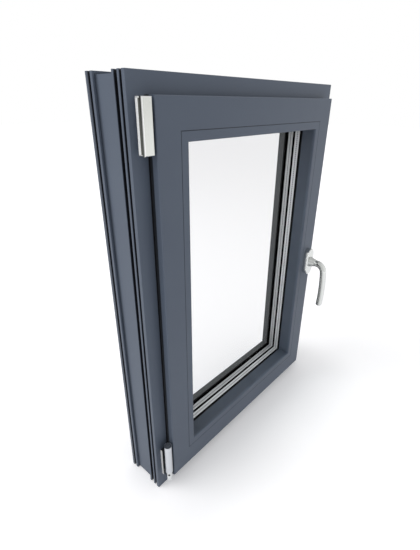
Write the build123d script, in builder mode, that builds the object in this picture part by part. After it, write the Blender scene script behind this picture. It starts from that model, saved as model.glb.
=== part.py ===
from build123d import *
from math import cos, radians, sin
import os

os.makedirs("parts", exist_ok=True)

# A tilt and turn window of welded plastic profile, one sash, triple glazed.
# Millimetres. X runs along the window as seen from the room, hinges on the left,
# Y runs from the room to the outdoors, Z is up and the sill stands on Z = 0.

# Frame, outside to outside
frame_width = 525.0
frame_height = 720.0
frame_depth = 82.0
frame_edge_round = 1.2
lip_edge_bevel = 0.4

# Sash in the frame
sash_depth = 84.5
sash_projection = 18.5
frame_face_showing = 26.3
room_overlap = 8.0
outdoor_overlap = 8.0
rebate_air = 12.0
seal_gap = 3.0
seal_inset = 1.2
sash_edge_round = 2.0
sash_reveal_round = 1.0

# Gear groove in the outer edge of the sash
gear_groove_axis = 13.0
gear_groove_width = 16.0
gear_groove_depth = 3.0
gear_channel_width = 10.0
gear_channel_depth = 9.0

# Drain channel in the frame rebate and its slots to the outdoors
drain_channel_width = 12.0
drain_channel_depth = 6.0
drain_slot_length = 28.0
drain_slot_height = 5.0
drain_slot_inset = 130.0

# Clip grooves round the outside of the frame, and the wide recess between them
near_groove_start = 6.3
near_groove_width = 4.6
second_groove_start = 14.9
second_groove_width = 6.8
outdoor_groove_inset = 6.6
outdoor_groove_width = 4.5
groove_depth = 8.0
recess_start = 25.7
recess_outdoor_inset = 16.3
recess_depth = 4.0

# Glazing rebate and beads
glass_rebate_wall = 14.0
bead_joint = 41.6
bead_width = 14.4
bead_play = 0.2
bead_heel_lift = 5.0
bead_heel_thickness = 7.5
bead_wall = 7.0
bead_edge_round = 2.2
joint_edge_round = 0.5
sight_line = frame_face_showing + bead_joint + bead_width

# Sealed glass unit
pane_thickness = 4.0
cavity = 12.0
edge_cover = 15.0
edge_clearance = 5.0
glazing_gasket = 3.0
spacer_height = 7.0
spacer_setback = 5.0
butyl_line = 0.8
packer_length = 80.0

# Handle
handle_inset = 24.0
handle_height = 342.0
handle_reach = 57.5
rosette_height = 64.0
rosette_width = 28.0
rosette_thickness = 12.0
rosette_bevel = 1.5
neck_diameter = 24.0
neck_seat_depth = 3.0
neck_play = 0.08
lever_drop = 104.0
lever_bend = 19.0
lever_lean = 6.0
lever_return = 4.5
lever_width = 16.5
lever_thickness = 14.0
lever_tip_bevel = 1.5
spindle_square = 7.0
spindle_length = 32.0
spindle_socket = 14.0
spindle_bore = 12.0
bore_end_play = 0.2

# Hinges, placed from the left edge of the frame and out from its room face
hinge_leaf_thickness = 4.0
hinge_play = 0.2
hinge_pin_diameter = 6.0
pin_fit = 0.03
hinge_web = 6.0

# Top hinge, hung from the head
top_hinge_drop = 28.0
top_hinge_height = 67.0
top_leaf_edge = 12.0
top_hinge_axis_in = 14.9
top_hinge_axis_out = 10.5
top_block_half = 6.15
top_block_bevel = 2.0
top_cover_front = 18.3
top_cover_return = 4.5
top_cover_wall = 1.7
top_cover_play = 0.15
top_cover_bevel = 1.2
knuckle_height = 33.0

# Bottom hinge, stood up from the sill
bottom_leaf_edge = 10.6
bottom_leaf_low = 31.5
bottom_leaf_high = 96.0
bottom_hinge_axis_in = 16.4
bottom_hinge_axis_out = 15.2
bottom_hinge_low = 47.0
bottom_hinge_high = 115.0
bottom_sleeve_radius = 7.25
bottom_sleeve_bevel = 0.6
bottom_web_margin = 6.0
bottom_cap_recess = 0.6
bottom_cap_wall = 1.0
bottom_cap_thickness = 2.5
bottom_pin_seat = 12.0
bottom_pin_end_play = 2.0
bottom_cup_radius = 5.7
bottom_cup_height = 22.0
bottom_cup_bevel = 1.5
bottom_key_across = 4.0
bottom_key_depth = 5.0

# Places that follow from the sizes above
left = -frame_width / 2
right = frame_width / 2
room_face = (sash_projection + handle_reach - frame_depth) / 2
sash_face = -sash_projection
sash_outdoor_face = sash_face + sash_depth
rebate_floor = frame_face_showing + room_overlap
sash_edge = rebate_floor + rebate_air
bead_line = frame_face_showing + bead_joint
glass_edge = sight_line - edge_cover
glass_platform = glass_edge - edge_clearance
unit_outdoor_face = sash_outdoor_face - glass_rebate_wall - glazing_gasket
unit_room_face = unit_outdoor_face - 3 * pane_thickness - 2 * cavity

# The four sides of the window: each plane stands at a corner of the frame, its X
# points in towards the glass, its Y outdoors, and its Z runs along the side
sides = {
    "head": Plane((left, room_face, frame_height), x_dir=(0, 0, -1), z_dir=(1, 0, 0)),
    "sill": Plane((right, room_face, 0), x_dir=(0, 0, 1), z_dir=(-1, 0, 0)),
    "hinge": Plane((left, room_face, 0), x_dir=(1, 0, 0), z_dir=(0, 0, 1)),
    "lock": Plane((right, room_face, frame_height), x_dir=(-1, 0, 0), z_dir=(0, 0, -1)),
}
side_lengths = {"head": frame_width, "sill": frame_width, "hinge": frame_height, "lock": frame_height}


def save(block, label):
    """Label a finished piece and write it to its own file."""
    block.part.label = label
    export_step(block.part, f"parts/{label}.step")


def cut_mitres(side):
    """Cut both ends of the bar in the open block at 45 degrees, through the frame's corners."""
    base = sides[side]
    far = base.origin + base.z_dir * side_lengths[side]
    split(bisect_by=Plane(base.origin, z_dir=base.z_dir - base.x_dir), keep=Keep.TOP)
    split(bisect_by=Plane(far, z_dir=-base.z_dir - base.x_dir), keep=Keep.TOP)


def facing_room(depth):
    """Plane across the window at a depth behind the frame's room face, normal to the room."""
    return Plane((0, room_face + depth, frame_height / 2), x_dir=(1, 0, 0), z_dir=(0, -1, 0))


def ring(outer, inner, start, end):
    """Add a rectangular ring to the open block, by its insets from the frame and its depths."""
    with BuildSketch(facing_room(end)) as section:
        Rectangle(frame_width - 2 * outer, frame_height - 2 * outer)
        Rectangle(frame_width - 2 * inner, frame_height - 2 * inner, mode=Mode.SUBTRACT)
    extrude(section.sketch, amount=end - start)


# Frame section: room leg under the sash, clip grooves outside, drained rebate, outdoor leg
seal_face = sash_outdoor_face + seal_gap
outdoor_leg = sash_edge + outdoor_overlap
outside_grooves = [
    (near_groove_start, near_groove_start + near_groove_width, groove_depth),
    (second_groove_start, second_groove_start + second_groove_width, groove_depth),
    (recess_start, frame_depth - recess_outdoor_inset, recess_depth),
    (frame_depth - outdoor_groove_inset - outdoor_groove_width, frame_depth - outdoor_groove_inset,
     groove_depth),
]
drain_floor = rebate_floor - drain_channel_depth
frame_outline = [(0, 0)]
for start, end, depth in outside_grooves:
    frame_outline += [(0, start), (depth, start), (depth, end), (0, end)]
frame_outline += [
    (0, frame_depth),
    (outdoor_leg, frame_depth),
    (outdoor_leg, seal_face),
    (drain_floor, seal_face),
    (drain_floor, seal_face - drain_channel_width / 2),
    (rebate_floor, seal_face - drain_channel_width),
    (rebate_floor, 0),
]

for side, label in (("head", "frame_head"), ("sill", "frame_sill"),
                    ("hinge", "frame_hinge_jamb"), ("lock", "frame_lock_jamb")):
    with BuildPart() as frame_bar:
        with BuildSketch(sides[side]) as frame_section:
            with BuildLine():
                Polyline(*frame_outline, close=True)
            make_face()
            chamfer(frame_section.vertices().group_by(Axis.X)[0].sort_by(Axis.Y)[:-1], lip_edge_bevel)
            fillet(frame_section.vertices().group_by(Axis.Y)[-1], frame_edge_round)
        extrude(amount=side_lengths[side])
        cut_mitres(side)
        if side == "sill":
            slot_level = (drain_floor + rebate_floor - frame_height) / 2
            with BuildSketch(facing_room(frame_depth)):
                with Locations((left + drain_slot_inset, slot_level), (right - drain_slot_inset, slot_level)):
                    SlotOverall(drain_slot_length, drain_slot_height)
            extrude(amount=frame_depth - seal_face, mode=Mode.SUBTRACT)
    save(frame_bar, label)

# Sash section: overlap lip on the room side, gear groove, glazing rebate and its outdoor wall
lip_back = -seal_gap
groove_mid = lip_back + gear_groove_axis
glass_wall_face = unit_outdoor_face + glazing_gasket
sash_outline = [
    (frame_face_showing, sash_face),
    (bead_line, sash_face),
    (bead_line, sash_face + bead_heel_lift),
    (glass_platform, sash_face + bead_heel_lift),
    (glass_platform, glass_wall_face),
    (sight_line, glass_wall_face),
    (sight_line, sash_outdoor_face),
    (sash_edge, sash_outdoor_face),
    (sash_edge, groove_mid + gear_groove_width / 2),
    (sash_edge + gear_groove_depth, groove_mid + gear_groove_width / 2),
    (sash_edge + gear_groove_depth, groove_mid + gear_channel_width / 2),
    (sash_edge + gear_channel_depth, groove_mid + gear_channel_width / 2),
    (sash_edge + gear_channel_depth, groove_mid - gear_channel_width / 2),
    (sash_edge + gear_groove_depth, groove_mid - gear_channel_width / 2),
    (sash_edge + gear_groove_depth, groove_mid - gear_groove_width / 2),
    (sash_edge, groove_mid - gear_groove_width / 2),
    (sash_edge, lip_back),
    (frame_face_showing, lip_back),
]

# Handle axis, on the lock stile
handle_x = right - frame_face_showing - handle_inset
handle_seat = Plane((handle_x, room_face + sash_face, handle_height), x_dir=(1, 0, 0), z_dir=(0, -1, 0))

for side, label in (("head", "sash_top_rail"), ("sill", "sash_bottom_rail"),
                    ("hinge", "sash_hinge_stile"), ("lock", "sash_lock_stile")):
    with BuildPart() as sash_bar:
        with BuildSketch(sides[side]) as sash_section:
            with BuildLine():
                Polyline(*sash_outline, close=True)
            make_face()
            fillet(sash_section.vertices().group_by(Axis.Y)[0].sort_by(Axis.X)[0], sash_edge_round)
            fillet(sash_section.vertices().group_by(Axis.Y)[0].sort_by(Axis.X)[-1], joint_edge_round)
            fillet(sash_section.vertices().group_by(Axis.Y)[-1].sort_by(Axis.X)[-1], sash_reveal_round)
        extrude(amount=side_lengths[side])
        cut_mitres(side)
        if side == "lock":
            with BuildSketch(handle_seat):
                Circle(spindle_bore / 2)
            extrude(amount=-(spindle_length + bore_end_play), mode=Mode.SUBTRACT)
    save(sash_bar, label)

# Glazing beads: the face and reveal that show, and the heel that snaps under the sash
bead_back = unit_room_face - glazing_gasket
bead_outline = [
    (bead_line + bead_play, sash_face),
    (sight_line, sash_face),
    (sight_line, bead_back),
    (sight_line - bead_wall, bead_back),
    (sight_line - bead_wall, sash_face + bead_heel_lift + bead_heel_thickness),
    (glass_platform, sash_face + bead_heel_lift + bead_heel_thickness),
    (glass_platform, sash_face + bead_heel_lift),
    (bead_line + bead_play, sash_face + bead_heel_lift),
]

for side, label in (("head", "bead_top"), ("sill", "bead_bottom"),
                    ("hinge", "bead_hinge_side"), ("lock", "bead_lock_side")):
    with BuildPart() as bead_bar:
        with BuildSketch(sides[side]) as bead_section:
            with BuildLine():
                Polyline(*bead_outline, close=True)
            make_face()
            fillet(bead_section.vertices().group_by(Axis.Y)[0].sort_by(Axis.X)[-1], bead_edge_round)
            fillet(bead_section.vertices().group_by(Axis.Y)[0].sort_by(Axis.X)[0], joint_edge_round)
        extrude(amount=side_lengths[side])
        cut_mitres(side)
    save(bead_bar, label)

# Gaskets
with BuildPart() as overlap_gasket:
    ring(frame_face_showing + seal_inset, rebate_floor - seal_inset, -seal_gap, 0)
save(overlap_gasket, "overlap_gasket")

with BuildPart() as outdoor_gasket:
    ring(sash_edge + seal_inset, outdoor_leg - seal_inset, sash_outdoor_face, seal_face)
save(outdoor_gasket, "outdoor_gasket")

with BuildPart() as inner_glazing_gasket:
    ring(sight_line - bead_wall, sight_line, bead_back, unit_room_face)
save(inner_glazing_gasket, "inner_glazing_gasket")

with BuildPart() as outer_glazing_gasket:
    ring(sight_line - bead_wall, sight_line, unit_outdoor_face, glass_wall_face)
save(outer_glazing_gasket, "outer_glazing_gasket")

# Three panes and the two spacer bars that hold them apart
pane_pitch = pane_thickness + cavity
for step, label in enumerate(("inner_pane", "middle_pane", "outer_pane")):
    pane_start = unit_room_face + step * pane_pitch
    with BuildPart() as pane:
        with BuildSketch(facing_room(pane_start + pane_thickness)):
            Rectangle(frame_width - 2 * glass_edge, frame_height - 2 * glass_edge)
        extrude(amount=pane_thickness)
    save(pane, label)

spacer_back = glass_edge + spacer_setback
spacer_front = spacer_back + spacer_height
for step, word in enumerate(("inner", "outer")):
    cavity_start = unit_room_face + pane_thickness + step * pane_pitch
    with BuildPart() as spacer:
        ring(spacer_back, spacer_front, cavity_start + butyl_line, cavity_start + cavity - butyl_line)
    save(spacer, f"{word}_spacer")
    with BuildPart() as edge_seal:
        ring(glass_edge, spacer_back, cavity_start, cavity_start + cavity)
        ring(spacer_back, spacer_front, cavity_start, cavity_start + butyl_line)
        ring(spacer_back, spacer_front, cavity_start + cavity - butyl_line, cavity_start + cavity)
    save(edge_seal, f"{word}_edge_seal")

# Packers that carry the glass in its rebate, two on the bottom and one on each other side
unit_middle = (unit_room_face + unit_outdoor_face) / 2
unit_thickness = unit_outdoor_face - unit_room_face
glass_width = frame_width - 2 * glass_edge
packer_mid = edge_clearance / 2
with BuildPart() as glazing_packers:
    with Locations((-glass_width / 4, room_face + unit_middle, glass_platform + packer_mid),
                   (glass_width / 4, room_face + unit_middle, glass_platform + packer_mid),
                   (0, room_face + unit_middle, frame_height - glass_platform - packer_mid)):
        Box(packer_length, unit_thickness, edge_clearance)
    with Locations((left + glass_platform + packer_mid, room_face + unit_middle, frame_height / 2),
                   (right - glass_platform - packer_mid, room_face + unit_middle, frame_height / 2)):
        Box(edge_clearance, unit_thickness, packer_length)
save(glazing_packers, "glazing_packers")

# Handle rosette: oval plate on the sash with a seat for the neck and a bore for the spindle
neck_radius = neck_diameter / 2
with BuildPart() as rosette:
    with BuildSketch(handle_seat):
        SlotOverall(rosette_height, rosette_width, rotation=90)
    extrude(amount=rosette_thickness)
    chamfer(rosette.faces().sort_by(Axis.Y)[0].edges(), rosette_bevel)
    with BuildSketch(handle_seat.offset(rosette_thickness)):
        Circle(neck_radius + neck_play)
    extrude(amount=-neck_seat_depth, mode=Mode.SUBTRACT)
    with BuildSketch(handle_seat):
        Circle(spindle_bore / 2)
    extrude(amount=rosette_thickness, mode=Mode.SUBTRACT)
save(rosette, "handle_rosette")

# Lever: a conical neck, a close bend, and a flat oval grip that bows away from the sash and back.
# The bow is one arc: it leans out by one angle below the bend and comes back by another at the tip.
lever_plane = Plane(handle_seat.origin, x_dir=(0, -1, 0), z_dir=(-1, 0, 0))
neck_start = rosette_thickness - neck_seat_depth + bore_end_play
lever_out = handle_reach - lever_thickness / 2
lean_rise = sin(radians(lever_lean))
bow_radius = (lever_drop - lever_bend * (1 - lean_rise)) / (lean_rise + sin(radians(lever_return)))
bow_height = -lever_bend - (bow_radius - lever_bend) * lean_rise
neck_end = lever_out - bow_radius + (bow_radius - lever_bend) * cos(radians(lever_lean))
with BuildLine(lever_plane) as lever_path:
    Line((neck_start, 0), (neck_end, 0))
    CenterArc((neck_end, -lever_bend), lever_bend, 90, lever_lean - 90)
    CenterArc((lever_out - bow_radius, bow_height), bow_radius, lever_lean, -lever_lean - lever_return)
with BuildPart() as lever:
    with BuildSketch(handle_seat.offset(neck_start)):
        SlotOverall(lever_width, lever_thickness)
    sweep(path=lever_path.wire())
    chamfer(lever.faces().sort_by(Axis.Z)[0].edges(), lever_tip_bevel)
    with BuildSketch(lever_plane):
        with BuildLine():
            Polyline((neck_start, 0), (neck_start, neck_radius), (rosette_thickness, neck_radius),
                     (neck_end, lever_thickness / 2), (neck_end, 0), close=True)
        make_face()
    revolve(axis=Axis(handle_seat.origin, handle_seat.z_dir))
    with BuildSketch(handle_seat.offset(neck_start)):
        Rectangle(spindle_square, spindle_square)
    extrude(amount=spindle_socket, mode=Mode.SUBTRACT)
save(lever, "handle_lever")

with BuildPart() as spindle:
    with BuildSketch(handle_seat.offset(neck_start + spindle_socket)):
        Rectangle(spindle_square, spindle_square)
    extrude(amount=-(neck_start + spindle_socket + spindle_length))
save(spindle, "handle_spindle")

# Top hinge: a leaf screwed to the frame with two lugs, the sash's knuckle between them, the pin
# through all three and a shallow cover clipped over their front
top_hinge_high = frame_height - top_hinge_drop
top_hinge_low = top_hinge_high - top_hinge_height
top_axis = (left + top_hinge_axis_in, room_face - top_hinge_axis_out)
block_front = room_face - top_cover_front + top_cover_wall
lug_height = (top_hinge_height - knuckle_height) / 2 - top_cover_wall - top_cover_play - hinge_play
knuckle_low = top_hinge_low + (top_hinge_height - knuckle_height) / 2


def upright(low, height, radius, axis, mode=Mode.ADD):
    """Round upright bar on a hinge axis, by its foot and its height."""
    with BuildSketch(Plane((axis[0], axis[1], low))) as section:
        Circle(radius)
    extrude(section.sketch, amount=height, mode=mode)


def web(low, height, x_start, x_end, y_start, y_end, mode=Mode.ADD):
    """Upright block between two X and two Y places."""
    with BuildSketch(Plane(((x_start + x_end) / 2, (y_start + y_end) / 2, low))) as section:
        Rectangle(x_end - x_start, y_end - y_start)
    extrude(section.sketch, amount=height, mode=mode)


def hinge_block(low, height, back):
    """Block on the top hinge's axis, from the inside of the cover back to a Y place."""
    with BuildSketch(Plane((top_axis[0], block_front, low))) as section:
        Rectangle(2 * top_block_half, back - block_front, align=(Align.CENTER, Align.MIN))
        chamfer(section.vertices().group_by(Axis.Y)[0], top_block_bevel)
    extrude(section.sketch, amount=height)


leaf_front = room_face - hinge_leaf_thickness
leaf_right = left + frame_face_showing - hinge_play
pin_radius = hinge_pin_diameter / 2
lug_lows = (knuckle_low - hinge_play - lug_height, knuckle_low + knuckle_height + hinge_play)
pin_height = lug_lows[1] + lug_height - lug_lows[0]
with BuildPart() as top_leaf:
    web(top_hinge_low, top_hinge_height, left + top_leaf_edge, leaf_right, leaf_front, room_face)
    for low in lug_lows:
        hinge_block(low, lug_height, leaf_front)
    upright(lug_lows[0], pin_height, pin_radius + pin_fit, top_axis, Mode.SUBTRACT)
save(top_leaf, "top_hinge_leaf")

with BuildPart() as top_knuckle:
    hinge_block(knuckle_low, knuckle_height, leaf_front - hinge_play)
    web(knuckle_low, knuckle_height, top_axis[0], left + frame_face_showing,
        top_axis[1] - hinge_web / 2, top_axis[1] + hinge_web / 2)
    upright(knuckle_low, knuckle_height, pin_radius + pin_fit, top_axis, Mode.SUBTRACT)
save(top_knuckle, "top_hinge_knuckle")

with BuildPart() as top_pin:
    upright(lug_lows[0], pin_height, pin_radius, top_axis)
save(top_pin, "top_hinge_pin")

cover_inside = top_block_half + top_cover_play
cover_outside = cover_inside + top_cover_wall
cover_front = room_face - top_cover_front
with BuildPart() as top_cover:
    web(top_hinge_low, top_hinge_height, top_axis[0] - cover_outside, top_axis[0] + cover_outside,
        cover_front, cover_front + top_cover_return)
    chamfer(top_cover.faces().sort_by(Axis.Y)[0].edges(), top_cover_bevel)
    web(top_hinge_low + top_cover_wall, top_hinge_height - 2 * top_cover_wall,
        top_axis[0] - cover_inside, top_axis[0] + cover_inside,
        block_front, cover_front + top_cover_return, Mode.SUBTRACT)
save(top_cover, "top_hinge_cover")

# Bottom hinge: a leaf on the frame with a bearing cup, the pin standing in it, and the round
# sleeve of the sash over the pin, closed by a cap
bottom_axis = (left + bottom_hinge_axis_in, room_face - bottom_hinge_axis_out)
cup_high = bottom_hinge_low - hinge_play
cup_low = cup_high - bottom_cup_height
pin_low = bottom_hinge_low - bottom_pin_seat
cap_seat = bottom_hinge_high - bottom_cap_recess - bottom_cap_thickness
cap_radius = bottom_sleeve_radius - bottom_cap_wall
with BuildPart() as bottom_bearing:
    upright(cup_low, bottom_cup_height, bottom_cup_radius, bottom_axis)
    chamfer(bottom_bearing.faces().sort_by(Axis.Z)[0].edges(), bottom_cup_bevel)
    web(bottom_leaf_low, bottom_leaf_high - bottom_leaf_low, left + bottom_leaf_edge, leaf_right,
        leaf_front, room_face)
    web(bottom_leaf_low, cup_high - bottom_leaf_low, bottom_axis[0] - hinge_web / 2,
        bottom_axis[0] + hinge_web / 2, bottom_axis[1], leaf_front)
    upright(pin_low, bottom_pin_seat, pin_radius + pin_fit, bottom_axis, Mode.SUBTRACT)
    with BuildSketch(Plane((bottom_axis[0], bottom_axis[1], cup_low))):
        RegularPolygon(bottom_key_across / 2, 6, major_radius=False)
    extrude(amount=bottom_key_depth, mode=Mode.SUBTRACT)
save(bottom_bearing, "bottom_hinge_bearing")

with BuildPart() as bottom_sleeve:
    upright(bottom_hinge_low, bottom_hinge_high - bottom_hinge_low, bottom_sleeve_radius, bottom_axis)
    chamfer(bottom_sleeve.faces().sort_by(Axis.Z)[0].edges(), bottom_sleeve_bevel)
    web(bottom_hinge_low + bottom_web_margin, bottom_leaf_high - bottom_hinge_low - 2 * bottom_web_margin,
        bottom_axis[0], left + frame_face_showing, bottom_axis[1], bottom_axis[1] + hinge_web)
    upright(bottom_hinge_low, cap_seat - bottom_hinge_low, pin_radius + pin_fit, bottom_axis, Mode.SUBTRACT)
    upright(cap_seat, bottom_hinge_high - cap_seat, cap_radius, bottom_axis, Mode.SUBTRACT)
save(bottom_sleeve, "bottom_hinge_sleeve")

with BuildPart() as bottom_pin:
    upright(pin_low, cap_seat - bottom_pin_end_play - pin_low, pin_radius, bottom_axis)
save(bottom_pin, "bottom_hinge_pin")

with BuildPart() as bottom_cap:
    upright(cap_seat, bottom_cap_thickness, cap_radius, bottom_axis)
save(bottom_cap, "bottom_hinge_cap")
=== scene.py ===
from math import pi, radians

import bpy
from mathutils import Matrix, Vector


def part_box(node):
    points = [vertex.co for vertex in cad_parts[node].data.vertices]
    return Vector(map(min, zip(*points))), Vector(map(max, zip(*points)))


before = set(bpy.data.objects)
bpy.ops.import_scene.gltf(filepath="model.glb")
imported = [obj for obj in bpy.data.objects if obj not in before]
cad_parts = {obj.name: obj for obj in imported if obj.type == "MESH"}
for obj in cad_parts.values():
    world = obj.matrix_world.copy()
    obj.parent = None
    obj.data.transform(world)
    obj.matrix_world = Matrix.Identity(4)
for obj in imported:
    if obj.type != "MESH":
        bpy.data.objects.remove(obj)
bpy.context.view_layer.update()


# Frame, sash and beads. The real bars are PVC extrusions with a dark core, cut at 45 degrees and
# welded at the corners, wrapped in a blue-grey acrylic foil with a fine matt grain. The foil ends
# at the lips, so the near-black core shows in the clip grooves; there it also stands for painted
# shade, and in the joint round the sash the near-black is painted shade only.
MM = 0.001


def linear(hex_colour):
    """An sRGB hex colour as linear red, green, blue and full opacity, by the sRGB curve."""
    parts = [int(hex_colour[i:i + 2], 16) / 255 for i in (1, 3, 5)]
    curve = [c / 12.92 if c <= 0.04045 else ((c + 0.055) / 1.055) ** 2.4 for c in parts]
    return (*curve, 1.0)


def add_node(tree, kind, *values, **more):
    """Add one node. Values, sockets or nodes go to its open inputs in order, or by name where the
    name starts with a capital. Names in small letters are the node's own settings."""
    made = tree.nodes.new("ShaderNode" + kind)
    for name, value in more.items():
        if name[0].islower():
            setattr(made, name, value)
    open_inputs = [socket for socket in made.inputs if socket.enabled]
    fed = list(zip(open_inputs, values))
    fed += [(made.inputs[name.replace("_", " ")], value) for name, value in more.items()
            if name[0].isupper()]
    for socket, value in fed:
        if isinstance(value, bpy.types.Node):
            value = next(result for result in value.outputs if result.enabled)
        if isinstance(value, bpy.types.NodeSocket):
            tree.links.new(value, socket)
        else:
            socket.default_value = value
    return made


def new_finish(name):
    """An empty material, its node tree, and the place on the object in metres."""
    finish = bpy.data.materials.new(name)
    finish.use_nodes = True
    tree = finish.node_tree
    tree.nodes.clear()
    place = add_node(tree, "TexCoord").outputs["Object"]
    return finish, tree, place


def dress(finish, *names):
    """Give CAD nodes their finish."""
    for name in names:
        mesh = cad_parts[name].data
        mesh.materials.clear()
        mesh.materials.append(finish)


def band(start, end):
    """The band from start to end as Compare takes it: its middle and half its width."""
    return (start + end) / 2, (end - start) / 2


FOIL = "#555F6D"
FOIL_SHADE = "#515A69"
CORE_AND_SHADE = "#14171C"
frame_low, frame_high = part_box("frame_head")
sill_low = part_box("frame_sill")[0]
half_width = (frame_high.x - frame_low.x) / 2
half_height = (frame_high.z - sill_low.z) / 2
foil, tree, place = new_finish("acrylic_foil_on_pvc")

# Two distances place every mark on the bars: in from the frame's outer edge, and back from its
# room face. All the marks are tied to the object, so they stay where they are from any side.
axes = add_node(tree, "SeparateXYZ", place)
off_centre = add_node(tree, "Math", axes.outputs["X"], operation="ABSOLUTE")
from_side = add_node(tree, "Math", half_width, off_centre, operation="SUBTRACT")
level = add_node(tree, "Math", axes.outputs["Z"], half_height, operation="SUBTRACT")
off_level = add_node(tree, "Math", level, operation="ABSOLUTE")
from_end = add_node(tree, "Math", half_height, off_level, operation="SUBTRACT")
inset = add_node(tree, "Math", from_side, from_end, operation="MINIMUM")
from_room = add_node(tree, "Math", axes.outputs["Y"], frame_low.y, operation="SUBTRACT")

# The near-black in the clip grooves, from just inside the lips, where the foil turns in, to their
# floor: partly the bare core, partly painted shade deep in the grooves.
GROOVES_MM = ((6.2, 11.0), (14.8, 21.8), (70.8, 76.3))
FOIL_TURN_IN_MM = (0.45, 1.5)
GROOVE_FLOOR_MM = 9.0
in_groove = 0.0
for groove_start, groove_end in GROOVES_MM:
    one_groove = add_node(tree, "Math", from_room, *band(groove_start * MM, groove_end * MM),
                          operation="COMPARE")
    in_groove = add_node(tree, "Math", in_groove, one_groove, operation="MAXIMUM")
turned_in = add_node(tree, "MapRange", inset, FOIL_TURN_IN_MM[0] * MM, FOIL_TURN_IN_MM[1] * MM, 0.0, 1.0,
                     interpolation_type="SMOOTHSTEP")
near_outside = add_node(tree, "Math", inset, GROOVE_FLOOR_MM * MM, operation="LESS_THAN")
bare_lips = add_node(tree, "Math", turned_in, near_outside, operation="MULTIPLY")
groove_core_and_shade = add_node(tree, "Math", in_groove, bare_lips, operation="MULTIPLY")

# Painted shade in the joint between sash and frame, which is too narrow for light to reach: the
# core's near-black laid on as shade.
JOINT_INSET_MM = (26.1, 45.0)
JOINT_DEPTH_MM = (-8.0, 40.0)
joint_inset = add_node(tree, "Math", inset, *band(JOINT_INSET_MM[0] * MM, JOINT_INSET_MM[1] * MM),
                       operation="COMPARE")
joint_depth = add_node(tree, "Math", from_room, *band(JOINT_DEPTH_MM[0] * MM, JOINT_DEPTH_MM[1] * MM),
                       operation="COMPARE")
joint_painted_shade = add_node(tree, "Math", joint_inset, joint_depth, operation="MULTIPLY")
core_and_painted_shade = add_node(tree, "Math", groove_core_and_shade, joint_painted_shade, operation="MAXIMUM")

# The foil itself: a grain, drawn coarser than the real one so that it still shows, and a slow drift
# of its colour along the bars.
GRAIN_MM = 0.45
CLOUD_MM = 60
FOIL_ROUGHNESS = (0.42, 0.58)
grain = add_node(tree, "TexNoise", place, Scale=1 / (GRAIN_MM * MM), Detail=3.0, Roughness=0.6)
cloud = add_node(tree, "TexNoise", place, Scale=1 / (CLOUD_MM * MM), Detail=2.0)
body_colour = add_node(tree, "Mix", cloud, linear(FOIL), linear(FOIL_SHADE), data_type="RGBA")
rough = add_node(tree, "MapRange", grain, 0.0, 1.0, *FOIL_ROUGHNESS)

# The reveal round the glass. It deepens on the room side of the glass, where the bars shade each
# other. Beyond the glass it looks a neutral grey.
FOIL_BEYOND_GLASS = "#56595B"
REVEAL_SHADE = 0.3
REVEAL_FADE_MM = (0.5, 8.0)
GLASS_EDGE_MM = 2.0
CORNER_MM = 0.5
pane_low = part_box("inner_pane")[0]
glass_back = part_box("outer_pane")[1].y - CORNER_MM * MM
face_low, face_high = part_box("sash_bottom_rail")
past_face = add_node(tree, "Math", inset, pane_low.x - sill_low.x - GLASS_EDGE_MM * MM,
                     operation="GREATER_THAN")
past_glass = add_node(tree, "Math", axes.outputs["Y"], *band(glass_back, face_high.y - CORNER_MM * MM),
                      operation="COMPARE")
beyond_glass = add_node(tree, "Math", past_face, past_glass, operation="MULTIPLY")
outer_colour = add_node(tree, "Mix", beyond_glass, body_colour, linear(FOIL_BEYOND_GLASS),
                        data_type="RGBA")
behind_face = add_node(tree, "Math", axes.outputs["Y"], face_low.y, operation="SUBTRACT")
deepening = add_node(tree, "MapRange", behind_face, REVEAL_FADE_MM[0] * MM, REVEAL_FADE_MM[1] * MM,
                     0.0, REVEAL_SHADE, interpolation_type="SMOOTHSTEP")
before_glass = add_node(tree, "Math", axes.outputs["Y"], glass_back, operation="LESS_THAN")
on_room_side = add_node(tree, "Math", past_face, before_glass, operation="MULTIPLY")
in_reveal = add_node(tree, "Math", on_room_side, deepening, operation="MULTIPLY")
reveal_colour = add_node(tree, "Mix", in_reveal, outer_colour, linear(CORE_AND_SHADE), data_type="RGBA")

# The hairline on the sash's face where the clipped-in bead meets it, and the welded mitres.
BEAD_FACE_MM = 14.3
BEAD_LINE_MM = (0.2, 1.0)
BEAD_LINE_DEPTH_MM = 1.0
BEAD_LINE_SHADE = 0.65
MITRE_MM = (0.1, 0.5)
MITRE_SHADE = 0.07
bead_inset = frame_high.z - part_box("bead_top")[0].z - BEAD_FACE_MM * MM
past_bead = add_node(tree, "Math", inset, bead_inset, operation="SUBTRACT")
off_bead = add_node(tree, "Math", past_bead, operation="ABSOLUTE")
bead_line = add_node(tree, "MapRange", off_bead, BEAD_LINE_MM[0] * MM, BEAD_LINE_MM[1] * MM,
                     BEAD_LINE_SHADE, 0.0, interpolation_type="SMOOTHSTEP")
on_face = add_node(tree, "Math", behind_face, BEAD_LINE_DEPTH_MM * MM, operation="LESS_THAN")
bead_joint = add_node(tree, "Math", on_face, bead_line, operation="MULTIPLY")
joint_colour = add_node(tree, "Mix", bead_joint, reveal_colour, linear(CORE_AND_SHADE), data_type="RGBA")
past_mitre = add_node(tree, "Math", from_side, from_end, operation="SUBTRACT")
off_mitre = add_node(tree, "Math", past_mitre, operation="ABSOLUTE")
mitre = add_node(tree, "MapRange", off_mitre, MITRE_MM[0] * MM, MITRE_MM[1] * MM, 1.0, 0.0,
                 interpolation_type="SMOOTHSTEP")
mitre_line = add_node(tree, "Math", mitre, MITRE_SHADE, operation="MULTIPLY")
mitre_colour = add_node(tree, "Mix", mitre_line, joint_colour, linear(CORE_AND_SHADE), data_type="RGBA")
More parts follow.
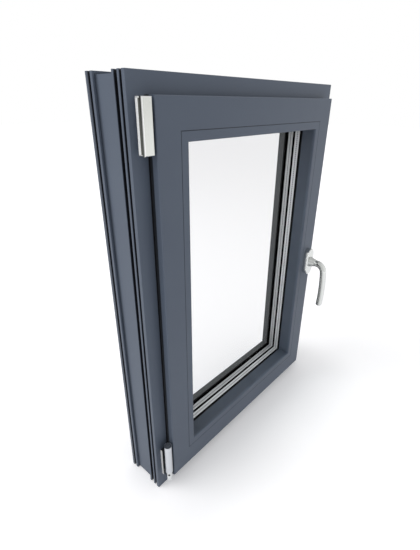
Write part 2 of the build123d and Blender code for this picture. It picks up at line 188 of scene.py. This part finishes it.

# The outer edge, with painted shade: the recess behind the grooves darkens into its outdoor
# corner, and the last lip is darkest next to its groove.
RECESS_MM = (58.0, 65.7)
RECESS_INSET_MM = (3.0, 6.0)
RECESS_SHADE = 0.5
LIP_MM = (75.4, 80.5)
LIP_SHADE = 0.6
recess_depth = add_node(tree, "MapRange", from_room, RECESS_MM[0] * MM, RECESS_MM[1] * MM,
                        0.0, RECESS_SHADE, interpolation_type="SMOOTHSTEP")
recess_floor = add_node(tree, "Math", inset, *band(RECESS_INSET_MM[0] * MM, RECESS_INSET_MM[1] * MM),
                        operation="COMPARE")
painted_recess_shade = add_node(tree, "Math", recess_depth, recess_floor, operation="MULTIPLY")
lip_fade = add_node(tree, "MapRange", from_room, LIP_MM[0] * MM, LIP_MM[1] * MM, LIP_SHADE, 0.0,
                    interpolation_type="SMOOTHSTEP")
on_lip = add_node(tree, "Math", from_room, *band(LIP_MM[0] * MM, LIP_MM[1] * MM), operation="COMPARE")
lip_outside = add_node(tree, "Math", lip_fade, near_outside, operation="MULTIPLY")
painted_lip_shade = add_node(tree, "Math", on_lip, lip_outside, operation="MULTIPLY")
edge_shade = add_node(tree, "Math", painted_recess_shade, painted_lip_shade, operation="MAXIMUM")
edge_colour = add_node(tree, "Mix", edge_shade, mitre_colour, linear(CORE_AND_SHADE), data_type="RGBA")

FOIL_RELIEF_MM = 0.03
bar_colour = add_node(tree, "Mix", core_and_painted_shade, edge_colour, linear(CORE_AND_SHADE), data_type="RGBA")
relief = add_node(tree, "Math", grain, mitre, operation="SUBTRACT")
bump = add_node(tree, "Bump", Strength=0.25, Distance=FOIL_RELIEF_MM * MM, Height=relief)
shader = add_node(tree, "BsdfPrincipled", Base_Color=bar_colour, Roughness=rough, Normal=bump,
                  Specular_IOR_Level=0.35)
add_node(tree, "OutputMaterial", shader)
dress(foil, "frame_head", "frame_sill", "frame_hinge_jamb", "frame_lock_jamb")
dress(foil, "sash_top_rail", "sash_bottom_rail", "sash_hinge_stile", "sash_lock_stile")
dress(foil, "bead_top", "bead_bottom", "bead_hinge_side", "bead_lock_side")

# Seals. Extruded EPDM and TPE lips, pushed into grooves of the bars: matt black, a little
# dusty, and slightly wavy along their length.
DUST_MM = 8
seal_rubber, tree, place = new_finish("epdm_seal")
dust = add_node(tree, "TexNoise", place, Scale=1 / (DUST_MM * MM), Detail=4.0)
seal_colour = add_node(tree, "Mix", dust, linear("#050506"), linear("#0D0E10"), data_type="RGBA")
wave = add_node(tree, "Bump", Strength=0.2, Distance=0.2 * MM, Height=dust)
shader = add_node(tree, "BsdfPrincipled", Base_Color=seal_colour, Roughness=0.75, Normal=wave,
                  Specular_IOR_Level=0.2)
add_node(tree, "OutputMaterial", shader)
dress(seal_rubber, "overlap_gasket", "outdoor_gasket", "inner_glazing_gasket", "outer_glazing_gasket")

# Glass. Three panes of 4 mm clear float glass with a low-glare coating: almost no tint and only
# faint mirroring, so the white room shows straight through. Its IOR is set low, which keeps the
# stack of edges behind it at their true depth. Lamp light passes, less what such a unit holds back.
float_glass, tree, place = new_finish("clear_float_glass")
shader = add_node(tree, "BsdfPrincipled", Base_Color=linear("#FAFAFA"), Roughness=0.0, IOR=1.02,
                  Transmission_Weight=1.0)
passing = add_node(tree, "BsdfTransparent", linear("#EFF1F1"))
rays = add_node(tree, "LightPath")
through = add_node(tree, "MixShader", rays.outputs["Is Shadow Ray"], shader, passing)
add_node(tree, "OutputMaterial", through)
dress(float_glass, "inner_pane", "middle_pane", "outer_pane")

# Spacer bars. Roll-formed aluminium strip between the panes, mill finish. Down the middle runs a
# darker seam with the pin holes through which the drying agent works. The holes are drawn at twice
# their real pitch, so that they still show as a dotted line. The bar nearer the room is painted
# brighter, as painted light.
PIN_SEAM_MM = (0.8, 1.92)
HOLE_PITCH_MM = 4.0
HOLE_EDGE = 0.6
HOLE_SHADES = (0.25, 0.7)
ROLL_MARKS_MM = 2.5
STRIP_ROUGHNESS = (0.35, 0.55)
NEARER_PAINTED_LIGHT = 0.4
spacer_low, spacer_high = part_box("inner_spacer")
outer_low, outer_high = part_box("outer_spacer")
inner_middle = (spacer_low.y + spacer_high.y) / 2
outer_middle = (outer_low.y + outer_high.y) / 2
spacer_strip, tree, place = new_finish("mill_finish_spacer")
axes = add_node(tree, "SeparateXYZ", place)
past_inner = add_node(tree, "Math", axes.outputs["Y"], inner_middle, operation="SUBTRACT")
off_inner = add_node(tree, "Math", past_inner, operation="ABSOLUTE")
past_outer = add_node(tree, "Math", axes.outputs["Y"], outer_middle, operation="SUBTRACT")
off_outer = add_node(tree, "Math", past_outer, operation="ABSOLUTE")
off_seam = add_node(tree, "Math", off_inner, off_outer, operation="MINIMUM")
on_seam = add_node(tree, "MapRange", off_seam, PIN_SEAM_MM[0] * MM, PIN_SEAM_MM[1] * MM, 1.0, 0.0,
                   interpolation_type="SMOOTHSTEP")
# Across plus up runs on along each of the strip's four sides, so one wave dots them all.
along = add_node(tree, "Math", axes.outputs["X"], axes.outputs["Z"], operation="ADD")
turns = add_node(tree, "Math", along, 2 * pi / (HOLE_PITCH_MM * MM), operation="MULTIPLY")
wave = add_node(tree, "Math", turns, operation="SINE")
dots = add_node(tree, "MapRange", wave, -HOLE_EDGE, HOLE_EDGE, *HOLE_SHADES,
                interpolation_type="SMOOTHSTEP")
dotted_seam = add_node(tree, "Math", on_seam, dots, operation="MULTIPLY")
roll_marks = add_node(tree, "TexNoise", place, Scale=1 / (ROLL_MARKS_MM * MM), Detail=4.0, Roughness=0.7)
metal = add_node(tree, "Mix", roll_marks, linear("#9B9EA0"), linear("#C6C8CA"), data_type="RGBA")
nearer = add_node(tree, "Math", axes.outputs["Y"], (inner_middle + outer_middle) / 2,
                  operation="LESS_THAN")
painted_light_share = add_node(tree, "Math", nearer, NEARER_PAINTED_LIGHT, operation="MULTIPLY")
painted_lit_metal = add_node(tree, "Mix", painted_light_share, metal, linear("#F0F2F5"), data_type="RGBA")
strip_colour = add_node(tree, "Mix", dotted_seam, painted_lit_metal, linear("#2F3133"), data_type="RGBA")
rough = add_node(tree, "MapRange", roll_marks, 0.0, 1.0, *STRIP_ROUGHNESS,
                 interpolation_type="SMOOTHSTEP")
shader = add_node(tree, "BsdfPrincipled", Base_Color=strip_colour, Metallic=0.35, Roughness=rough)
add_node(tree, "OutputMaterial", shader)
dress(spacer_strip, "inner_spacer", "outer_spacer")

# Edge sealant round the glass unit. Black butyl and polysulphide, spread by knife: dull with
# fine ripples.
RIPPLE_MM = 4
sealant, tree, place = new_finish("butyl_sealant")
ripple = add_node(tree, "TexNoise", place, Scale=1 / (RIPPLE_MM * MM), Detail=3.0)
sealant_colour = add_node(tree, "Mix", ripple, linear("#040404"), linear("#0A0A0B"), data_type="RGBA")
shader = add_node(tree, "BsdfPrincipled", Base_Color=sealant_colour, Roughness=0.8,
                  Specular_IOR_Level=0.2)
add_node(tree, "OutputMaterial", shader)
dress(sealant, "inner_edge_seal", "outer_edge_seal")

# Glazing packers. Moulded polypropylene blocks with a fine ribbed face.
RIB_MM = 2
TINT_MM = 10
packer_plastic, tree, place = new_finish("polypropylene_packer")
axes = add_node(tree, "SeparateXYZ", place)
rib_turns = add_node(tree, "Math", axes.outputs["Y"], 2 * pi / (RIB_MM * MM), operation="MULTIPLY")
ribs = add_node(tree, "Math", rib_turns, operation="SINE")
tint = add_node(tree, "TexNoise", place, Scale=1 / (TINT_MM * MM))
packer_colour = add_node(tree, "Mix", tint, linear("#70757A"), linear("#7C8186"), data_type="RGBA")
bump = add_node(tree, "Bump", Strength=0.4, Distance=0.3 * MM, Height=ribs)
shader = add_node(tree, "BsdfPrincipled", Base_Color=packer_colour, Roughness=0.5, Normal=bump)
add_node(tree, "OutputMaterial", shader)
dress(packer_plastic, "glazing_packers")

# Handle. Die-cast aluminium, polished and silver anodised: a soft shine with very fine scratches
# from the polishing belt along the lever, drawn coarser so that they show. The lever is brightest
# where it faces the room and is painted darker towards the sash, a painted reflection of the dark
# sash. The rosette has painted shade on top.
BELT_MM = 0.5
BELT_STRETCH = 0.08
SILVER_ROUGHNESS = (0.12, 0.24)
for finish_name, piece, axis, start, end, painted_dark in (
        ("silver_anodised_lever", "handle_lever", "Y", -0.95, 0.25, "#939694"),
        ("silver_anodised_rosette", "handle_rosette", "Z", 0.1, 0.8, "#CDCFCD")):
    anodised, tree, place = new_finish(finish_name)
    stretch = add_node(tree, "Mapping", place, Scale=(1.0, 1.0, BELT_STRETCH))
    belt = add_node(tree, "TexNoise", stretch, Scale=1 / (BELT_MM * MM), Detail=3.0)
    facing = add_node(tree, "SeparateXYZ", add_node(tree, "TexCoord").outputs["Normal"])
    painted_dark_share = add_node(tree, "MapRange", facing.outputs[axis], start, end, 0.0, 1.0,
                           interpolation_type="SMOOTHSTEP")
    silver = add_node(tree, "Mix", belt, linear("#D2D4D2"), linear("#DEE0DE"), data_type="RGBA")
    silver_colour = add_node(tree, "Mix", painted_dark_share, silver, linear(painted_dark), data_type="RGBA")
    rough = add_node(tree, "MapRange", belt, 0.0, 1.0, *SILVER_ROUGHNESS, interpolation_type="SMOOTHSTEP")
    shader = add_node(tree, "BsdfPrincipled", Base_Color=silver_colour, Metallic=1.0, Roughness=rough)
    add_node(tree, "OutputMaterial", shader)
    dress(anodised, piece)

# Cover of the top hinge. Zinc, chromed and brushed on its faces. Its bevels carry a painted
# highlight of white, and its returns carry painted shade that deepens towards the frame. The
# brush lines are drawn coarser, to show.
BEVEL_MM = 1.2
RETURN_MM = (-0.69, 2.53)
BRUSH_MM = 0.4
BRUSH_STRETCH = 0.05
CHROME_ROUGHNESS = (0.1, 0.22)
cover_low, cover_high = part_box("top_hinge_cover")
satin_chrome, tree, place = new_finish("satin_chromed_zinc")
axes = add_node(tree, "SeparateXYZ", place)
edge_distances = []
for axis, low, high in (("X", cover_low.x, cover_high.x), ("Z", cover_low.z, cover_high.z)):
    past_middle = add_node(tree, "Math", axes.outputs[axis], (low + high) / 2, operation="SUBTRACT")
    off_middle = add_node(tree, "Math", past_middle, operation="ABSOLUTE")
    edge_distances.append(add_node(tree, "Math", (high - low) / 2, off_middle, operation="SUBTRACT"))
to_edge = add_node(tree, "Math", *edge_distances, operation="MINIMUM")
from_front = add_node(tree, "Math", axes.outputs["Y"], cover_low.y, operation="SUBTRACT")
near_front = add_node(tree, "Math", from_front, BEVEL_MM * MM, operation="LESS_THAN")
near_edge = add_node(tree, "Math", to_edge, BEVEL_MM * MM, operation="LESS_THAN")
painted_highlight = add_node(tree, "Math", near_front, near_edge, operation="MULTIPLY")
return_painted_shade = add_node(tree, "MapRange", from_front, RETURN_MM[0] * MM, RETURN_MM[1] * MM, 0.0, 1.0,
                     interpolation_type="SMOOTHSTEP")
brushed = add_node(tree, "Mapping", place, Scale=(1.0, 1.0, BRUSH_STRETCH))
brush_lines = add_node(tree, "TexNoise", brushed, Scale=1 / (BRUSH_MM * MM), Detail=4.0)
satin = add_node(tree, "Mix", brush_lines, linear("#D6D8D3"), linear("#E2E4DF"), data_type="RGBA")
chrome = add_node(tree, "Mix", painted_highlight, satin, linear("#FFFFFF"), data_type="RGBA")
cover_colour = add_node(tree, "Mix", return_painted_shade, chrome, linear("#4B4D4A"), data_type="RGBA")
rough = add_node(tree, "MapRange", brush_lines, 0.0, 1.0, *CHROME_ROUGHNESS,
                 interpolation_type="SMOOTHSTEP")
shader = add_node(tree, "BsdfPrincipled", Base_Color=cover_colour, Metallic=1.0, Roughness=rough)
add_node(tree, "OutputMaterial", shader)
dress(satin_chrome, "top_hinge_cover")

# Sleeve of the bottom hinge. Turned zinc, chromed and brushed, bright towards the room. Its sides
# that face the frame and the sash are painted dark, a painted reflection of their foil, and its web
# behind is painted dark as painted shade.
SLEEVE_RADIUS_MM = 7.4
TURNING_MM = 0.5
TURNING_STRETCH = 0.1
TURN_TO_FRAME = (0.08, 0.54)
TURN_TO_SASH = (0.2, 0.64)
pin_low, pin_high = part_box("bottom_hinge_pin")
pin_x = (pin_low.x + pin_high.x) / 2
pin_y = (pin_low.y + pin_high.y) / 2
sleeve_chrome, tree, place = new_finish("turned_chrome")
flat = add_node(tree, "VectorMath", place, (1.0, 1.0, 0.0), operation="MULTIPLY")
off_pin = add_node(tree, "VectorMath", flat, (pin_x, pin_y, 0.0), operation="DISTANCE")
web_painted_shade = add_node(tree, "Math", off_pin, SLEEVE_RADIUS_MM * MM, operation="GREATER_THAN")
turned = add_node(tree, "Mapping", place, Scale=(TURNING_STRETCH, TURNING_STRETCH, 1.0))
turn_lines = add_node(tree, "TexNoise", turned, Scale=1 / (TURNING_MM * MM), Detail=3.0)
facing = add_node(tree, "SeparateXYZ", add_node(tree, "TexCoord").outputs["Normal"])
to_frame = add_node(tree, "MapRange", facing.outputs["Y"], *TURN_TO_FRAME, 0.0, 1.0,
                    interpolation_type="SMOOTHSTEP")
to_sash = add_node(tree, "MapRange", facing.outputs["X"], *TURN_TO_SASH, 0.0, 1.0,
                   interpolation_type="SMOOTHSTEP")
painted_dark_share = add_node(tree, "Math", to_frame, to_sash, operation="MAXIMUM")
plate = add_node(tree, "Mix", turn_lines, linear("#C6C9CD"), linear("#D0D3D7"), data_type="RGBA")
plate_with_painted_reflection = add_node(tree, "Mix", painted_dark_share, plate, linear("#303338"), data_type="RGBA")
sleeve_colour = add_node(tree, "Mix", web_painted_shade, plate_with_painted_reflection, linear("#1D1F22"), data_type="RGBA")
metallic = add_node(tree, "Math", 1.0, web_painted_shade, operation="SUBTRACT")
shader = add_node(tree, "BsdfPrincipled", Base_Color=sleeve_colour, Metallic=metallic, Roughness=0.3)
add_node(tree, "OutputMaterial", shader)
dress(sleeve_chrome, "bottom_hinge_sleeve")

# Hinge bodies behind the covers. Zinc castings with a dull olive-grey passivated skin. The plates
# next to the frame are lacquered pale silver and stay bright beside the dark foil.
PLATE_MM = (8.9, 8.3)
MOTTLE_MM = 2
CASTING_ROUGHNESS = (0.3, 0.5)
casting, tree, place = new_finish("passivated_zinc_casting")
axes = add_node(tree, "SeparateXYZ", place)
on_plate = add_node(tree, "MapRange", axes.outputs["Y"], frame_low.y - PLATE_MM[0] * MM,
                    frame_low.y - PLATE_MM[1] * MM, 0.0, 1.0, interpolation_type="SMOOTHSTEP")
mottle = add_node(tree, "TexNoise", place, Scale=1 / (MOTTLE_MM * MM), Detail=4.0)
skin = add_node(tree, "Mix", mottle, linear("#484A44"), linear("#575952"), data_type="RGBA")
casting_colour = add_node(tree, "Mix", on_plate, skin, linear("#F2F3F2"), data_type="RGBA")
rough = add_node(tree, "MapRange", mottle, 0.0, 1.0, *CASTING_ROUGHNESS)
shader = add_node(tree, "BsdfPrincipled", Base_Color=casting_colour, Roughness=rough)
add_node(tree, "OutputMaterial", shader)
dress(casting, "top_hinge_leaf", "top_hinge_knuckle")

# Bearing of the bottom hinge. The same lacquered plate on the frame and passivated lug, with a
# chromed cup below the sleeve. Only the plate's outer edge keeps its pale lacquer; its front beside
# the sleeve takes the lug's dark colour as painted shade. In the cup, the socket for the key that
# adjusts the sash is painted black, as painted shade.
LEAF_MM = 4.1
LEAF_EDGE_MM = 0.9
CUP_DEPTH_MM = 6
SOCKET_OFF_PIN_MM = (4.3, 3.8)
SOCKET_DROP_MM = 6
SOCKET_MM = (2.1, 2.73)
leaf_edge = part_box("bottom_hinge_bearing")[0].x + LEAF_EDGE_MM * MM
sleeve_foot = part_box("bottom_hinge_sleeve")[0].z
bearing_finish, tree, place = new_finish("chromed_bearing_casting")
axes = add_node(tree, "SeparateXYZ", place)
near_frame = add_node(tree, "Math", axes.outputs["Y"], frame_low.y - LEAF_MM * MM,
                      operation="GREATER_THAN")
at_edge = add_node(tree, "Math", axes.outputs["X"], leaf_edge, operation="LESS_THAN")
lacquered_leaf_edge = add_node(tree, "Math", near_frame, at_edge, operation="MULTIPLY")
below_sleeve = add_node(tree, "Math", axes.outputs["Z"], sleeve_foot, operation="LESS_THAN")
round_pin = add_node(tree, "Math", axes.outputs["Y"], pin_y + CUP_DEPTH_MM * MM, operation="LESS_THAN")
on_cup = add_node(tree, "Math", below_sleeve, round_pin, operation="MULTIPLY")
mottle = add_node(tree, "TexNoise", place, Scale=1 / (MOTTLE_MM * MM), Detail=4.0)
skin = add_node(tree, "Mix", mottle, linear("#34363A"), linear("#3F4145"), data_type="RGBA")
plated = add_node(tree, "Mix", on_cup, skin, linear("#D6D8D8"), data_type="RGBA")
lacquered = add_node(tree, "Mix", lacquered_leaf_edge, plated, linear("#F2F3F2"), data_type="RGBA")
socket_place = (pin_x - SOCKET_OFF_PIN_MM[0] * MM, pin_y - SOCKET_OFF_PIN_MM[1] * MM,
                sleeve_foot - SOCKET_DROP_MM * MM)
reach = add_node(tree, "VectorMath", place, socket_place, operation="DISTANCE")
socket_painted_shade = add_node(tree, "MapRange", reach, SOCKET_MM[0] * MM, SOCKET_MM[1] * MM, 1.0, 0.0,
                     interpolation_type="SMOOTHSTEP")
bearing_colour = add_node(tree, "Mix", socket_painted_shade, lacquered, linear("#0C0C0D"), data_type="RGBA")
shader = add_node(tree, "BsdfPrincipled", Base_Color=bearing_colour, Metallic=on_cup, Roughness=0.25)
add_node(tree, "OutputMaterial", shader)
dress(bearing_finish, "bottom_hinge_bearing")

# Pins and spindle. Drawn steel bar, zinc plated: brighter and a little bluish.
SPANGLE_MM = 2
zinc, tree, place = new_finish("zinc_plated_steel")
spangle = add_node(tree, "TexNoise", place, Scale=1 / (SPANGLE_MM * MM), Detail=2.0)
zinc_colour = add_node(tree, "Mix", spangle, linear("#A9AEB4"), linear("#C3C8CC"), data_type="RGBA")
shader = add_node(tree, "BsdfPrincipled", Base_Color=zinc_colour, Metallic=1.0, Roughness=0.3)
add_node(tree, "OutputMaterial", shader)
dress(zinc, "handle_spindle", "top_hinge_pin", "bottom_hinge_pin")

# Plug on top of the bottom hinge. Moulded polyamide, dark grey, with a fine spark-eroded grain.
SPARK_MM = 0.6
polyamide, tree, place = new_finish("grey_polyamide")
spark = add_node(tree, "TexNoise", place, Scale=1 / (SPARK_MM * MM), Detail=2.0)
plug_colour = add_node(tree, "Mix", spark, linear("#3F434A"), linear("#4A4F57"), data_type="RGBA")
bump = add_node(tree, "Bump", Strength=0.3, Distance=0.1 * MM, Height=spark)
shader = add_node(tree, "BsdfPrincipled", Base_Color=plug_colour, Roughness=0.55, Normal=bump)
add_node(tree, "OutputMaterial", shader)
dress(polyamide, "bottom_hinge_cap")

# White studio floor, matt and without an edge in sight. What the lamp leaves short of white, it
# makes up with a glow only for the eye, for mirrors and for glass: most far away, and least right
# beside the window, so that the glow paints the window's soft shadow there deeper and tighter.
WHITE = linear("#FFFFFF")
FLOOR_REACH = 12.0
CLOSE_LIFT = 0.2
FLOOR_LIFT = 0.31
FAR_LIFT = 0.5
GLASS_LIFT = 0.3
SHADOW_REACH = 0.14
FAR_AWAY = (0.5, 2.0)
floor_mesh = bpy.data.meshes.new("studio_floor")
floor_mesh.from_pydata([(-FLOOR_REACH, -FLOOR_REACH, 0), (FLOOR_REACH, -FLOOR_REACH, 0),
                        (FLOOR_REACH, FLOOR_REACH, 0), (-FLOOR_REACH, FLOOR_REACH, 0)], [], [(0, 1, 2, 3)])
floor = bpy.data.objects.new("studio_floor", floor_mesh)
bpy.context.scene.collection.objects.link(floor)
floor_white, tree, place = new_finish("floor_white")
rays = add_node(tree, "LightPath")
not_through = add_node(tree, "Math", 1.0, rays.outputs["Is Transmission Ray"], operation="SUBTRACT")
mirrored = add_node(tree, "Math", rays.outputs["Is Glossy Ray"], not_through, operation="MULTIPLY")
seen = add_node(tree, "Math", rays.outputs["Is Camera Ray"], mirrored, operation="MAXIMUM")
sides = add_node(tree, "VectorMath", place, operation="ABSOLUTE")
past_window = add_node(tree, "VectorMath", sides, (frame_high.x, frame_high.y, 0.0), operation="SUBTRACT")
clear = add_node(tree, "VectorMath", past_window, (0.0, 0.0, 0.0), operation="MAXIMUM")
away = add_node(tree, "VectorMath", clear, operation="LENGTH")
lift_with_painted_shadow = add_node(tree, "MapRange", away, 0.0, SHADOW_REACH, CLOSE_LIFT, FLOOR_LIFT,
                      interpolation_type="SMOOTHSTEP")
far_lift = add_node(tree, "MapRange", away, *FAR_AWAY, 0.0, FAR_LIFT - FLOOR_LIFT,
                    interpolation_type="SMOOTHSTEP")
lift = add_node(tree, "Math", lift_with_painted_shadow, far_lift, operation="ADD")
seen_lift = add_node(tree, "Math", seen, lift, operation="MULTIPLY")
glass_lift = add_node(tree, "Math", rays.outputs["Is Transmission Ray"], GLASS_LIFT, operation="MULTIPLY")
glow = add_node(tree, "Math", seen_lift, glass_lift, operation="MAXIMUM")
shader = add_node(tree, "BsdfPrincipled", Base_Color=linear("#F6F6F8"), Roughness=0.9,
                  Specular_IOR_Level=0.0, Emission_Color=WHITE, Emission_Strength=glow)
add_node(tree, "OutputMaterial", shader)
floor_mesh.materials.append(floor_white)

# White surround, and one large soft lamp high up behind the hinge side. The eye and the glass see
# plain white. Mirrors see it grey behind the window, which shades the metal's far sides.
SURROUND = 0.72
BACK_SHADE = 0.45
BACK_START = -0.2
BACK_END = 0.55
LAMP_WATTS = 29
LAMP_SIDE = 2.0
LAMP_PLACE = (-1.6, 0.9, 2.2)
LAMP_AIM = (0, 0, 0.3)
world = bpy.data.worlds.new("studio")
bpy.context.scene.world = world
world.use_nodes = True
tree = world.node_tree
tree.nodes.clear()
direction = add_node(tree, "SeparateXYZ", add_node(tree, "TexCoord").outputs["Generated"])
shade = add_node(tree, "MapRange", direction.outputs["Y"], BACK_START, BACK_END, 1.0, BACK_SHADE,
                 interpolation_type="SMOOTHSTEP")
surround = add_node(tree, "Background", WHITE, SURROUND)
mirrored = add_node(tree, "Background", WHITE, shade)
backdrop = add_node(tree, "Background", WHITE, 1.0)
rays = add_node(tree, "LightPath")
around = add_node(tree, "MixShader", rays.outputs["Is Glossy Ray"], surround, mirrored)
seen = add_node(tree, "Math", rays.outputs["Is Camera Ray"], rays.outputs["Is Transmission Ray"],
                operation="MAXIMUM")
studio = add_node(tree, "MixShader", seen, around, backdrop)
add_node(tree, "OutputWorld", studio)

lamp = bpy.data.lights.new("soft_box", "AREA")
lamp.shape = "RECTANGLE"
lamp.size = LAMP_SIDE
lamp.size_y = LAMP_SIDE
lamp.energy = LAMP_WATTS
soft_box = bpy.data.objects.new("soft_box", lamp)
bpy.context.scene.collection.objects.link(soft_box)
soft_box.location = LAMP_PLACE
soft_box.rotation_euler = (Vector(LAMP_AIM) - soft_box.location).to_track_quat("-Z", "Y").to_euler()

# Camera at the photograph's place, worked out from the window's straight edges: before the hinge
# side at the height of the sash's top rail, looking right and down.
CAMERA_PLACE = (-0.5441, -0.3824, 0.6867)
LOOK_RIGHT = 48.482
LOOK_DOWN = 25.607
LEAN = 0.438
FOCAL_PIXELS = 361.98
PHOTO_HEIGHT = 550
SENSOR_MM = 36.0
camera = bpy.data.cameras.new("camera")
camera.sensor_width = SENSOR_MM
camera.lens = FOCAL_PIXELS / PHOTO_HEIGHT * SENSOR_MM
camera_object = bpy.data.objects.new("camera", camera)
bpy.context.scene.collection.objects.link(camera_object)
camera_turn = (Matrix.Rotation(radians(-LOOK_RIGHT), 4, "Z")
               @ Matrix.Rotation(radians(90 - LOOK_DOWN), 4, "X") @ Matrix.Rotation(radians(LEAN), 4, "Z"))
camera_object.matrix_world = Matrix.Translation(CAMERA_PLACE) @ camera_turn
bpy.context.scene.camera = camera_object
bpy.context.scene.view_settings.view_transform = "Standard"
